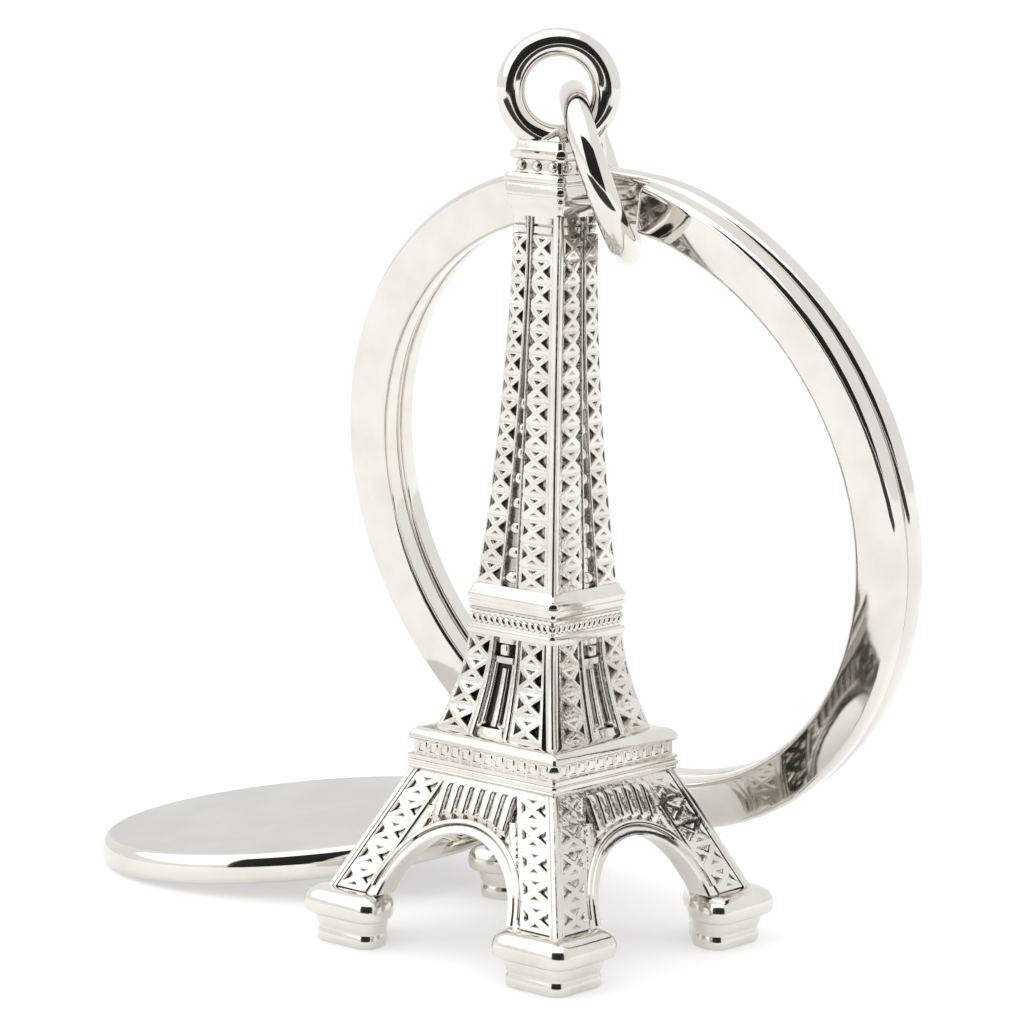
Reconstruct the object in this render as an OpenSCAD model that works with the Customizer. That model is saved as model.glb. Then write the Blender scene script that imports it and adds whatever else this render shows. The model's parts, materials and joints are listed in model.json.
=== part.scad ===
// Keychain: a lattice tower charm on a jump ring, with a flat split ring
// and an oval engraving tag. Millimetres, +Z up. The origin is the middle of
// the tower's four soles, on the plane that the tower stands on. The tower
// stands with its corners on the X and Y axes, and the hole of its hanging
// eye runs along Y.

/* [Tower] */
// Height from the soles to the top of the hanging eye
tower_h = 45.5; // [44:0.5:60]
// Height of the underside of the lower platform
lower_deck_z = 8.8; // [8.4:0.1:9.6]
// Height of the top of the lower platform
lower_deck_top = 10.9; // [10.6:0.1:11.6]
// Height of the underside of the upper platform
upper_deck_z = 15.7; // [14:0.1:18]
// Height of the top of the upper platform
upper_deck_top = 18.2; // [17.6:0.1:20]
// Height of the underside of the top gallery
gallery_z = 36.5; // [32:0.5:38]
// Half of the diagonal of the lower platform
lower_deck_d = 6.85; // [6:0.05:8]
// Half of the diagonal of the upper platform
upper_deck_d = 4; // [3.6:0.05:4.6]
// Half of the diagonal of the spire at its top
spire_top_d = 2.2; // [1.8:0.05:2.6]
// Half of the diagonal of the spire at its foot
spire_foot_d = 3.6; // [3:0.05:3.8]

/* [Legs and feet] */
// Half of the diagonal over the legs, at the top of the feet
leg_foot_d = 10.6; // [9:0.1:12]
// Width of a leg along the tower's face
leg_w = 3.2; // [2.6:0.1:3.4]
// Radius of the arches between the legs
arch_r = 4.2; // [3.6:0.1:4.3]
// Height of the centre of the arches
arch_z = 2.1; // [1.5:0.1:2.4]
// Thickness of the wall over an arch
arch_wall = 1.3; // [0.8:0.1:1.8]
// Height of a foot
foot_h = 2.8; // [2.2:0.1:3.2]
// Half of the diagonal of a foot
foot_d = 3.35; // [2.8:0.05:3.6]

/* [Hanging eye and jump ring] */
// Mean radius of the hanging eye
eye_r = 2.35; // [2.2:0.05:3]
// Thickness of the hanging eye
eye_wire = 1.44; // [1.2:0.02:1.5]
// Mean radius of the jump ring
jump_r = 4.1; // [4:0.05:5]
// Wire of the jump ring
jump_wire = 1.45; // [1.2:0.05:1.5]
// Lean of the jump ring away from the tower
jump_lean = 20.8; // [15:0.1:30]
// Turn of the jump ring about its own long axis
jump_turn = 7; // [0:0.5:12]
// Width of the cut where the jump ring was closed
ring_cut = 0.06; // [0.04:0.01:0.2]

/* [Split ring] */
// Outer diameter of the split ring
split_od = 35; // [32:0.5:38]
// Width of its flat wire
split_w = 2.6; // [2:0.1:3]
// Thickness of its flat wire
split_t = 1.22; // [0.9:0.02:1.3]
// Gap between its two turns
split_gap = 0.06; // [0.04:0.01:0.2]
// Rounding of the wire's corners
split_round = 0.35; // [0.1:0.05:0.45]
// Turn of the ring about the vertical
split_turn = 43.8; // [40:0.1:48]
// Lean of the ring, its top towards the tower
split_lean = 11.5; // [9:0.1:14]

/* [Tag] */
// Length of the oval tag without its lug
tag_l = 22; // [18:0.5:26]
// Width of the oval tag
tag_w = 16.8; // [13:0.2:20]
// Thickness of the tag
tag_t = 1.6; // [1.2:0.1:2]
// Hole in the tag's lug
tag_hole = 3.2; // [2.8:0.1:3.6]
// Slope of the tag, its lug end up
tag_pitch = 6.5; // [3:0.5:10]
// Mean radius of the tag's link
link_r = 3.5; // [3.4:0.1:4.4]
// Wire of the tag's link
link_wire = 1; // [0.8:0.05:1.1]

/* [Hidden] */
$fn = 64;
FOUR = 4;                                  // sides of the tower
EDGE = 0.002;                              // height of a hull's end slices
nickel = "silver";
satin = "darkgray";

// Legs: the tower's outline tapers in a straight line from the feet to the
// lower platform.
leg_top_d = lower_deck_d - 0.25;
function leg_d(z) = leg_foot_d
    + (leg_top_d - leg_foot_d) * (z - foot_h) / (lower_deck_z - foot_h);
leg_cut = 0.95;                            // inner corner left on a leg, from its middle
foot_cut = 1.4;                            // inner corner left on a foot, from its middle
foot_mid = leg_foot_d - 1.85;              // middle of a foot
foot_round = 0.75;
sole_step = 0.7;                           // how much smaller its lower tier is

// Spire: it flares towards its foot along a power curve.
spire_power = 1.8;
spire_steps = 12;
function spire_d(s) = spire_foot_d - (spire_foot_d - spire_top_d) * (1 - pow(1 - s, spire_power));

// Middle stage between the platforms.
stage_foot_d = lower_deck_d - 1.4;
stage_top_d = upper_deck_d - 0.1;
stage_power = 1.5;
stage_steps = 6;

// Turns about the three axes, for finding where the rings meet.
function about_x(v, a) = [v[0], v[1] * cos(a) - v[2] * sin(a), v[1] * sin(a) + v[2] * cos(a)];
function about_y(v, a) = [v[0] * cos(a) + v[2] * sin(a), v[1], v[2] * cos(a) - v[0] * sin(a)];
function about_z(v, a) = [v[0] * cos(a) - v[1] * sin(a), v[0] * sin(a) + v[1] * cos(a), v[2]];

// Hanging eye.
eye_z = tower_h - eye_r - eye_wire / 2;
tier_top = gallery_z + 3.55;               // top of the gallery's upper tier
root_h = 0.55;                             // cone that joins the eye to that tier

// Jump ring: X across it, Y along it, Z up it. Its wire crosses the eye a
// little over its own middle, and it lies a little to one side there.
function in_jump(v) = about_y(about_z(v, -jump_turn), -jump_lean);
jump_slack = 0.573;                        // from its wire to the eye's middle
jump_seat = 10.8;                          // angle round it of the wire in the eye
jump_side = 0.55;
jump_cut = 35;                             // angle round it of its cut
jump_reach = jump_r + jump_slack;
jump_at = [0, 0, eye_z]
    + in_jump([jump_side, jump_reach * sin(jump_seat), -jump_reach * cos(jump_seat)]);

// Split ring: X to its right, Y up it, Z out of its near face. Its middle
// is on its near face. The wire's angles run from its left over its top.
split_r = (split_od - split_w) / 2;
wire_start = 104;
climb_start = 360 + 84;
climb_end = 360 + 112;
wire_end = 360 + 360 + 64;
wire_step = 5.6;
front_layer = -split_t / 2;
back_layer = front_layer - split_t - split_gap;
function in_split(v) = about_z(about_x(v, 90 + split_lean), -split_turn);
function wire_line(a, out, layer) = [-(split_r + out) * cos(a), (split_r + out) * sin(a), layer];
hang_seat = 98;                            // angle round it of the wire in the jump ring
hang_slack = 2.52;                         // from the jump ring's wire to that place
hang_turn = 8;
hang_side = 0.068;
hang_reach = jump_r - hang_slack;
split_at = jump_at
    + in_jump([hang_side, hang_reach * sin(hang_turn), -hang_reach * cos(hang_turn)])
    - in_split(wire_line(hang_seat, 0, 0));

// Tag's link: Z through it. It hangs round both turns of the split ring.
link_turn = 2.1;
link_tilt = 84.6;
function in_link(v) = about_z(about_y(v, link_tilt), link_turn);
link_seat = 287.4;                         // angle round the split ring where it hangs
link_rest = [-0.342, -0.561, -0.606];      // from the wire's middle there to the link's middle
link_cut = 150;                            // angle round it of its cut
link_at = split_at + in_split(wire_line(link_seat, 0, back_layer / 2) + link_rest);

// Tag: X along it to its lug, Z out of its upper face. The link's wire runs
// through the lug's hole.
tag_turn = -5;
tag_roll = 0.5;
lug_out = 3;                               // middle of the hole beyond the oval
lug_t = 1;
tag_edge = 0.5;                            // rounding of the tag's rim
lug_r = tag_hole / 2 + 0.9;
lug_root = 1.5;                            // how far its neck reaches into the oval
hole_slack = 0.28;
hole_turn = 46.2;                          // angle round the link of the wire in the hole
hole_side = -0.43;                         // from the wire's middle to the hole's, along the link's axis
hole_at = link_at + in_link([(link_r - hole_slack) * cos(hole_turn),
                             (link_r - hole_slack) * sin(hole_turn), hole_side]);
tag_at = hole_at
    - about_z(about_y([tag_l / 2 + lug_out, 0, 0], -tag_pitch), tag_turn);

// A square stage turned from an outline of [half diagonal, height] points,
// with its corners on the axes.
module stage(outline) {
    rotate_extrude($fn = FOUR) polygon(outline);
}

// A square plate with its corners on the axes and one inner corner cut off.
module cut_square(d, inner, r) {
    offset(r) offset(-r) intersection() {
        circle(d, $fn = FOUR);
        translate([-inner, -d]) square([d + inner, 2 * d]);
    }
}

// One foot, out along +X: a broad tier on a narrower one.
module foot() {
    color(nickel) {
        tier_z = 0.58 * foot_h;
        translate([foot_mid, 0, 0])
            linear_extrude(tier_z) cut_square(foot_d - sole_step, foot_cut - sole_step / 2, foot_round);
        translate([foot_mid, 0, tier_z])
            linear_extrude(foot_h - tier_z) cut_square(foot_d, foot_cut, foot_round);
    }
}

// One leg, out along +X: a leaning post whose outer corner follows the
// tower's outline.
module leg_slice(z) {
    half = leg_w / sqrt(2);
    translate([leg_d(z) - half, 0, z])
        linear_extrude(EDGE) intersection() {
            circle(half, $fn = FOUR);
            translate([-leg_cut, -half]) square([half + leg_cut, 2 * half]);
        }
}
module leg() {
    color(nickel) hull() {
        leg_slice(foot_h);
        leg_slice(lower_deck_z - EDGE);
    }
}

// The wall between two legs, over its arch, on the face turned 45 degrees
// from +X. It fills what the legs leave of the tower's face.
module face_slice(z) {
    out = leg_d(z) / sqrt(2);
    half = out - leg_w;
    translate([out - arch_wall, -half, z]) cube([arch_wall, 2 * half, EDGE]);
}
module arch() {
    color(nickel) rotate(45) difference() {
        hull() {
            face_slice(foot_h);
            face_slice(lower_deck_z - EDGE);
        }
        translate([0, 0, arch_z]) rotate([0, 90, 0]) cylinder(h = leg_foot_d, r = arch_r);
        translate([0, -leg_foot_d, 0])
            cube([leg_foot_d, 2 * leg_foot_d, arch_z + 0.5 * arch_r]);
    }
}

module lower_platform() {
    d = lower_deck_d;
    z = lower_deck_z;
    top = lower_deck_top;
    color(nickel) stage([
        [0, z], [d - 0.1, z], [d, z + 0.15], [d, z + 0.35], [d - 0.15, z + 0.45],
        [d, z + 0.55], [d, z + 0.8], [d - 0.2, z + 0.85], [d - 0.2, top - 0.6],
        [d - 0.05, top - 0.5], [d - 0.1, top - 0.3], [d - 0.5, top], [0, top]
    ]);
}

module middle_stage() {
    h = upper_deck_z - lower_deck_top;
    color(nickel) stage(concat(
        [[0, lower_deck_top]],
        [for (i = [0:stage_steps]) let (s = i / stage_steps)
            [stage_top_d + (stage_foot_d - stage_top_d) * pow(1 - s, stage_power),
             lower_deck_top + h * s]],
        [[0, upper_deck_z]]
    ));
}

module upper_platform() {
    d = upper_deck_d;
    z = upper_deck_z;
    top = upper_deck_top;
    color(nickel) stage([
        [0, z], [d, z], [d, z + 0.35], [d - 0.15, z + 0.4], [d - 0.15, z + 1.2],
        [d - 0.05, z + 1.3], [d - 0.15, z + 1.4], [d, z + 1.5],
        [d - 0.05, top - 0.3], [spire_foot_d + 0.05, top], [0, top]
    ]);
}

module spire() {
    h = gallery_z - upper_deck_top;
    color(nickel) stage(concat(
        [[0, upper_deck_top]],
        [for (i = [0:spire_steps]) let (s = i / spire_steps) [spire_d(s), upper_deck_top + h * s]],
        [[0, gallery_z]]
    ));
}

module top_gallery() {
    d = spire_top_d + 0.5;
    z = gallery_z;
    color(nickel) stage([
        [0, z], [spire_top_d, z], [spire_top_d + 0.12, z + 0.35], [d - 0.08, z + 0.6],
        [d, z + 0.7], [d, z + 1.45], [d - 0.1, z + 1.52], [d, z + 1.6], [d - 0.05, z + 1.95],
        [d - 0.55, z + 2.1], [d - 0.55, z + 2.6], [d - 0.25, z + 2.7], [d - 0.25, z + 3.1],
        [d - 0.55, z + 3.15], [d - 0.6, tier_top], [0, tier_top]
    ]);
}

module hanging_eye() {
    color(nickel) difference() {
        union() {
            translate([0, 0, eye_z]) rotate([90, 0, 0]) wire_ring(eye_r, eye_wire);
            translate([0, 0, tier_top]) cylinder(h = root_h, r1 = 1.25, r2 = 0.6);
        }
        translate([-eye_r, -eye_r, tier_top - eye_r]) cube([2 * eye_r, 2 * eye_r, eye_r]);
        translate([0, eye_r, eye_z]) rotate([90, 0, 0]) cylinder(h = 2 * eye_r, r = eye_r - eye_wire / 2);
    }
}

// A ring of round wire about Z.
module wire_ring(r, wire) {
    rotate_extrude() translate([r, 0]) circle(d = wire);
}

// A closed jump ring with its fine cut on its +X side.
module cut_ring(r, wire) {
    difference() {
        wire_ring(r, wire);
        translate([r - wire, -ring_cut / 2, -wire]) cube([2 * wire, ring_cut, 2 * wire]);
    }
}

module jump_ring() {
    color(nickel) translate(jump_at)
        rotate([0, -jump_lean, 0]) rotate([0, 0, -jump_turn])
        rotate([90, 0, 90]) rotate(jump_cut) cut_ring(jump_r, jump_wire);
}

// Section of the split ring's flat wire: [outwards, forwards] points.
function wire_corner(out, fwd, a0) = [for (i = [0:2]) let (a = a0 + 45 * i)
    [out + split_round * cos(a), fwd + split_round * sin(a)]];
wire_out = split_w / 2 - split_round;
wire_fwd = split_t / 2 - split_round;
wire_section = concat(
    wire_corner(wire_out, wire_fwd, 0), wire_corner(-wire_out, wire_fwd, 90),
    wire_corner(-wire_out, -wire_fwd, 180), wire_corner(wire_out, -wire_fwd, 270));

// Layer of the wire at an angle: it climbs from the near layer to the far
// one just before it meets its own start.
function climb(a) = let (s = max(0, min(1, (a - climb_start) / (climb_end - climb_start))))
    s * s * (3 - 2 * s);
function wire_layer(a) = front_layer + (back_layer - front_layer) * climb(a);
wire_angles = [for (i = [0:floor((wire_end - wire_start) / wire_step)]) wire_start + wire_step * i];
wire_points = [for (a = wire_angles) for (p = wire_section)
    wire_line(a, p[0], wire_layer(a) + p[1])];

module split_ring() {
    n = len(wire_section);
    last = len(wire_angles) - 1;
    sides = [for (i = [0:last - 1]) for (j = [0:n - 1]) let (k = (j + 1) % n)
        [i * n + j, i * n + k, (i + 1) * n + k, (i + 1) * n + j]];
    ends = [[for (j = [n - 1:-1:0]) j], [for (j = [0:n - 1]) last * n + j]];
    color(nickel) translate(split_at)
        rotate([0, 0, -split_turn]) rotate([90 + split_lean, 0, 0])
        polyhedron(wire_points, concat(sides, ends));
}

module tag_link() {
    color(nickel) translate(link_at)
        rotate([0, link_tilt, link_turn]) rotate(link_cut) cut_ring(link_r, link_wire);
}

// The tag's oval plate: a rounded rim, with both faces cut flat.
module oval_plate() {
    half = tag_t / 2 + 0.02;
    intersection() {
        scale([tag_l / tag_w, 1, 1]) rotate_extrude() hull() {
            translate([0, -half]) square([tag_w / 2 - tag_edge, 2 * half]);
            translate([tag_w / 2 - tag_edge, half - tag_edge]) circle(tag_edge, $fn = 32);
            translate([tag_w / 2 - tag_edge, tag_edge - half]) circle(tag_edge, $fn = 32);
        }
        cube([2 * tag_l, 2 * tag_w, tag_t], center = true);
    }
}
module oval_tag() {
    color(satin) translate(tag_at) rotate([0, -tag_pitch, tag_turn]) rotate([tag_roll, 0, 0])
    difference() {
        union() {
            oval_plate();
            translate([tag_l / 2 + lug_out, 0, -lug_t / 2]) cylinder(h = lug_t, r = lug_r);
            translate([tag_l / 2 - lug_root, -lug_r, -lug_t / 2])
                cube([lug_out + lug_root, 2 * lug_r, lug_t]);
        }
        translate([tag_l / 2 + lug_out, 0, -tag_t]) cylinder(h = 2 * tag_t, d = tag_hole);
    }
}

rotate(270) foot();  // foot_front
foot();  // foot_right
rotate(90) foot();  // foot_back
rotate(180) foot();  // foot_left
rotate(270) leg();  // leg_front
leg();  // leg_right
rotate(90) leg();  // leg_back
rotate(180) leg();  // leg_left
rotate(270) arch();  // arch_front_right
arch();  // arch_back_right
rotate(90) arch();  // arch_back_left
rotate(180) arch();  // arch_front_left
lower_platform();
middle_stage();
upper_platform();
spire();
top_gallery();
hanging_eye();
jump_ring();
split_ring();
tag_link();
oval_tag();
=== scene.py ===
import json
import math

import bmesh
import bpy
from mathutils import Matrix, Vector


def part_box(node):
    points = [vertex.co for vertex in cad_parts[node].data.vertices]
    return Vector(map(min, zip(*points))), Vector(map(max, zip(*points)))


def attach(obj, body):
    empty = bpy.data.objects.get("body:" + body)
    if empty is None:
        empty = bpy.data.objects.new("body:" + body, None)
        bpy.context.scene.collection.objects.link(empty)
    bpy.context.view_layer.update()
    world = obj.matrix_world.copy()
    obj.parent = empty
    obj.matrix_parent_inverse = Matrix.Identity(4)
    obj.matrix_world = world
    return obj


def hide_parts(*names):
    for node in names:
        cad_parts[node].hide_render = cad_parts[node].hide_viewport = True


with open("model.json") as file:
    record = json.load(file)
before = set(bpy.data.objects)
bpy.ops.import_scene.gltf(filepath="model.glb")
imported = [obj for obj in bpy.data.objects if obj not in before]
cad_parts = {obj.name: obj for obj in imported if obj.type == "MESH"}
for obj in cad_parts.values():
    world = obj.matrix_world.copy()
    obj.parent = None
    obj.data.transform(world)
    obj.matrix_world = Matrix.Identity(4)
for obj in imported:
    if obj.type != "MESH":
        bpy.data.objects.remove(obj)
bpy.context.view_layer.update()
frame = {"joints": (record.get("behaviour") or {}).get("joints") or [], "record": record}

MM = 0.001
UP = Vector((0, 0, 1))


# ---------------------------------------------------------------- materials

class Value:
    """A shader socket that adds, multiplies and so on."""

    def __init__(self, shader, socket):
        self.shader, self.socket = shader, socket

    def math(self, kind, *others, clamp=False):
        return self.shader.node("ShaderNodeMath", {"operation": kind, "use_clamp": clamp},
                                dict(enumerate((self,) + others)))

    def __add__(self, other):
        return self.math("ADD", other)

    def __mul__(self, other):
        return self.math("MULTIPLY", other)

    __radd__ = __add__
    __rmul__ = __mul__

    def ramp(self, low, high, to_low=0.0, to_high=1.0):
        return self.shader.node("ShaderNodeMapRange", {"interpolation_type": "SMOOTHSTEP"},
                                {0: self, 1: low, 2: high, 3: to_low, 4: to_high})


class Shader:
    """One material and the short ways of adding nodes to it."""

    def __init__(self, name):
        self.material = bpy.data.materials.new(name)
        self.material.use_nodes = True
        self.tree = self.material.node_tree
        self.surface = self.tree.nodes["Principled BSDF"]
        self.place = self.node("ShaderNodeTexCoord", output="Object")

    def node(self, kind, settings=None, inputs=None, output=0):
        made = self.tree.nodes.new(kind)
        for key, value in (settings or {}).items():
            setattr(made, key, value)
        for key, value in (inputs or {}).items():
            self.plug(made.inputs[key], value)
        return Value(self, made.outputs[output])

    def plug(self, socket, value):
        if isinstance(value, Value):
            self.tree.links.new(value.socket, socket)
        else:
            socket.default_value = value

    def set(self, **inputs):
        for key, value in inputs.items():
            self.plug(self.surface.inputs[key.replace("_", " ")], value)

    def noise(self, size, detail=3.0, roughness=0.5, stretch=(1, 1, 1)):
        """Noise from 0 to 1, with lumps of `size` millimetres."""
        scaled = self.node("ShaderNodeVectorMath", {"operation": "MULTIPLY"},
                           {0: self.place, 1: stretch})
        return self.node("ShaderNodeTexNoise", {}, {
            "Vector": scaled, "Scale": 1 / (size * MM), "Detail": detail, "Roughness": roughness})

    def mix(self, share, first, second):
        made = self.tree.nodes.new("ShaderNodeMix")
        made.data_type = "RGBA"
        self.plug(made.inputs[0], share)
        self.plug(made.inputs[6], first)
        self.plug(made.inputs[7], second)
        return Value(self, made.outputs[2])

    def bump(self, height, distance, strength=1.0):
        """Relief of `distance` millimetres where height goes from 0 to 1."""
        return self.node("ShaderNodeBump", {}, {
            "Strength": strength, "Distance": distance * MM, "Height": height})


# Dark brown for pits and recesses: part dark oxide, part painted shade where the hollows lie in shadow.
GRIME_AND_SHADE = (0.045, 0.038, 0.03, 1)


def nickel(name, light, dark, gloss, waves, lumps):
    """Bright plated metal: a soft waviness from polishing, a faint haze, and dark oxide with painted shade
    in the pits.
    """
    shader = Shader(name)
    across = shader.node("ShaderNodeSeparateXYZ", {}, {0: shader.place})
    grime_and_shade = shader.node("ShaderNodeAttribute", {"attribute_name": "grime_and_shade"}, output=2)
    # Painted shade: the pits on the left half of the scene (x below zero) get the full dark, those on the
    # right half only 0.3 of it.
    grime_and_shade = grime_and_shade * across.ramp(-0.3 * MM, 0.3 * MM, 1.0, 0.3)
    haze = shader.noise(2.6)
    fine = shader.noise(0.16, detail=4.0, roughness=0.6)
    wave = shader.noise(lumps, detail=2.0)
    plate = shader.mix(haze.ramp(0.3, 0.75), light, dark)
    # The base colour darkens to the pit colour where the attribute is high: dark oxide and painted shade.
    shader.set(Metallic=1.0,
               Base_Color=shader.mix(grime_and_shade.ramp(0.05, 0.8), plate, GRIME_AND_SHADE),
               Roughness=haze * 0.05 + fine * 0.05 + grime_and_shade * 0.25 + gloss,
               Normal=shader.bump(wave + fine * 0.12, waves))
    return shader.material


def satin(name):
    """Plated metal with a fine grain for engraving on."""
    shader = Shader(name)
    grain = shader.noise(0.1, detail=5.0, roughness=0.65)
    brush = shader.noise(0.5, detail=4.0, stretch=(0.12, 3.0, 3.0))
    cloud = shader.noise(5.0)
    shader.set(Metallic=1.0,
               Base_Color=shader.mix(cloud.ramp(0.3, 0.7), (0.68, 0.66, 0.635, 1), (0.62, 0.6, 0.575, 1)),
               Roughness=grain * 0.12 + brush * 0.1 + 0.3,
               Normal=shader.bump(grain * 0.6 + brush * 0.4, 0.006))
    return shader.material


def matt(name, light, dark, lumps, glow=0.0):
    shader = Shader(name)
    shader.set(Emission_Color=(1, 1, 1, 1), Emission_Strength=glow)
    shader.set(Base_Color=shader.mix(shader.noise(lumps).ramp(0.3, 0.7), light, dark), Roughness=0.8)
    return shader.material


CAST = nickel("cast_nickel", (0.77, 0.745, 0.7, 1), (0.7, 0.67, 0.62, 1), 0.08, 0.014, 0.7)
RELIEF = nickel("lattice_nickel", (0.79, 0.765, 0.72, 1), (0.66, 0.63, 0.58, 1), 0.1, 0.03, 0.35)
POLISHED = nickel("polished_nickel", (0.77, 0.745, 0.7, 1), (0.71, 0.68, 0.635, 1), 0.02, 0.004, 1.6)
SATIN = satin("satin_nickel")


# ------------------------------------------------------------------- meshes

def turn(axis, degrees):
    return Matrix.Rotation(math.radians(degrees), 4, axis)


def move(*place):
    return Matrix.Translation(Vector(place))


def clean(shape, sharp=38):
    """Joins doubled points, turns all faces outwards and marks the sharp edges."""
    bmesh.ops.remove_doubles(shape, verts=shape.verts, dist=0.0004)
    bmesh.ops.recalc_face_normals(shape, faces=shape.faces)
    for face in shape.faces:
        face.smooth = True
    limit = math.radians(sharp)
    for edge in shape.edges:
        edge.smooth = edge.calc_face_angle(0) < limit


def verts_in(geom):
    return [item for item in geom if isinstance(item, bmesh.types.BMVert)]


def put(name, shape, materials):
    """Turns a finished shape into an object in the scene."""
    mesh = bpy.data.meshes.new(name)
    shape.to_mesh(mesh)
    shape.free()
    for material in materials:
        mesh.materials.append(material)
    made = bpy.data.objects.new(name, mesh)
    bpy.context.scene.collection.objects.link(made)
    return made


def piece(name, shape, finishes, body="tower", stands_for=(), sharp=38, grime_and_shade=0.0):
    """Makes the object: millimetres to metres, finish and body, and hides the CAD parts it stands for."""
    clean(shape, sharp)
    # A set share of painted shade with dark oxide on every point of the piece.
    if grime_and_shade:
        layer = shape.verts.layers.float.new("grime_and_shade")
        for vert in shape.verts:
            vert[layer] = grime_and_shade
    bmesh.ops.scale(shape, vec=(MM, MM, MM), verts=shape.verts)
    made = put(name, shape, finishes if isinstance(finishes, list) else [finishes])
    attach(made, body)
    if stands_for:
        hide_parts(*stands_for)
    return made


def tool_shape(build):
    """A small mesh kept for stamping."""
    shape = bmesh.new()
    build(shape)
    mesh = bpy.data.meshes.new("stamp")
    shape.to_mesh(mesh)
    shape.free()
    return mesh


def stamp(shape, mesh, matrix=None, place=None, pit=0.0):
    """Adds a copy of a small mesh, moved by a matrix or point by point. A pit gets dark oxide and painted
    shade, darker the deeper it goes.
    """
    copy = bmesh.new()
    copy.from_mesh(mesh)
    grime_and_shade = copy.verts.layers.float.new("grime_and_shade")
    for vert in copy.verts:
        if pit:
            vert[grime_and_shade] = min(1.0, max(0.0, -vert.co.z / pit))
        vert.co = matrix @ vert.co if matrix else place(vert.co)
    moved = bpy.data.meshes.new("moved")
    copy.to_mesh(moved)
    copy.free()
    shape.from_mesh(moved)
    bpy.data.meshes.remove(moved)


def four_ways(shape):
    """Copies the front-right face's work to the other three faces."""
    for flip in ((-1, 1, 1), (1, -1, 1)):
        copy = bmesh.ops.duplicate(shape, geom=shape.verts[:] + shape.edges[:] + shape.faces[:])
        bmesh.ops.scale(shape, vec=flip, verts=verts_in(copy["geom"]))
        bmesh.ops.reverse_faces(shape, faces=[g for g in copy["geom"] if isinstance(g, bmesh.types.BMFace)])


def front_and_back(shape):
    """Copies the front corner's work to the back one."""
    copy = bmesh.ops.duplicate(shape, geom=shape.verts[:] + shape.edges[:] + shape.faces[:])
    bmesh.ops.rotate(shape, cent=(0, 0, 0), matrix=turn("Z", 180).to_3x3(), verts=verts_in(copy["geom"]))


def all_round(shape):
    """Copies one quarter's work three times round the vertical."""
    first = shape.verts[:] + shape.edges[:] + shape.faces[:]
    for quarter in (1, 2, 3):
        copy = bmesh.ops.duplicate(shape, geom=first)
        bmesh.ops.rotate(shape, cent=(0, 0, 0), matrix=turn("Z", 90 * quarter).to_3x3(),
                         verts=verts_in(copy["geom"]))


def grow(shape, face, outline, middle=(0, 0)):
    """Pulls a flat face up through [size, height] steps. Size is against the first one."""
    size, height = outline[0]
    for next_size, next_height in outline[1:]:
        made = bmesh.ops.extrude_discrete_faces(shape, faces=[face])
        face = made["faces"][0]
        bmesh.ops.translate(shape, vec=(0, 0, next_height - height), verts=face.verts)
        ratio = next_size / size
        bmesh.ops.scale(shape, vec=(ratio, ratio, 1), verts=face.verts,
                        space=move(-middle[0], -middle[1], 0))
        size, height = next_size, next_height
    return face


def square_stage(shape, outline, corner, steps=3):
    """A square block with its corners on the axes, from [half diagonal, height] points."""
    size, height = outline[0]
    made = bmesh.ops.create_circle(shape, cap_ends=True, segments=4, radius=size,
                                   matrix=move(0, 0, height))["verts"]
    bmesh.ops.bevel(shape, geom=made, offset=corner, offset_type="OFFSET", segments=steps,
                    profile=0.5, affect="VERTICES", material=-1)
    bottom = max((f for f in shape.faces if abs(f.calc_center_median().z - height) < 1e-4),
                 key=lambda f: f.calc_area())
    bmesh.ops.duplicate(shape, geom=[bottom])
    return grow(shape, bottom, outline)


def ring(shape, middle, across, toward, radius, wire, steps=96, sides=24):
    """A ring of round wire. `across` is its axis and `toward` lies in its plane."""
    across = Vector(across).normalized()
    toward = Vector(toward)
    toward = (toward - across * toward.dot(across)).normalized()
    side = across.cross(toward)
    frame_of = Matrix((toward, across, side)).transposed().to_4x4()
    frame_of.translation = Vector(middle) + toward * radius
    made = bmesh.ops.create_circle(shape, segments=sides, radius=wire / 2,
                                   matrix=frame_of)["verts"]
    edges = list({e for v in made for e in v.link_edges})
    bmesh.ops.spin(shape, geom=made + edges, cent=middle, axis=across, angle=2 * math.pi,
                   steps=steps, use_merge=True)


# ---------------------------------------------------------- sizes of the CAD

def span(node):
    low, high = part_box(node)
    return low / MM, high / MM


foot_high = span("foot_right")[1]
lower_low, lower_high = span("lower_platform")
middle_high = span("middle_stage")[1]
upper_low, upper_high = span("upper_platform")
spire_high = span("spire")[1]
gallery_high = span("top_gallery")[1]
leg_high = span("leg_right")[1]

FOOT_H = foot_high.z
DECK_Z, DECK_TOP, DECK_D = lower_low.z, lower_high.z, lower_high.x
UPPER_Z, UPPER_TOP, UPPER_D = upper_low.z, upper_high.z, upper_high.x
SPIRE_TOP, SPIRE_D = spire_high.z, spire_high.x
GALLERY_TOP, GALLERY_D = gallery_high.z, gallery_high.x
STAGE_D = middle_high.x
LEG_D = leg_high.x
LEG_TOP_D = DECK_D - 0.25
LEG_W = 3.2
LEG_CUT = 0.95                             # inner corner left on a leg, from its middle
SPIRE_TOP_D = GALLERY_D - 0.5
UPPER_STAGE_D = UPPER_D - 0.1
ROOT2 = math.sqrt(2)


def leg_d(z):
    return LEG_D + (LEG_TOP_D - LEG_D) * (z - FOOT_H) / (DECK_Z - FOOT_H)


def stage_d(z):
    share = (z - DECK_TOP) / (UPPER_Z - DECK_TOP)
    return UPPER_STAGE_D + (STAGE_D - UPPER_STAGE_D) * max(0, 1 - share) ** 1.5


def spire_d(z):
    share = (z - UPPER_TOP) / (SPIRE_TOP - UPPER_TOP)
    return SPIRE_D - (SPIRE_D - SPIRE_TOP_D) * (1 - max(0, 1 - share) ** 1.8)


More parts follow.
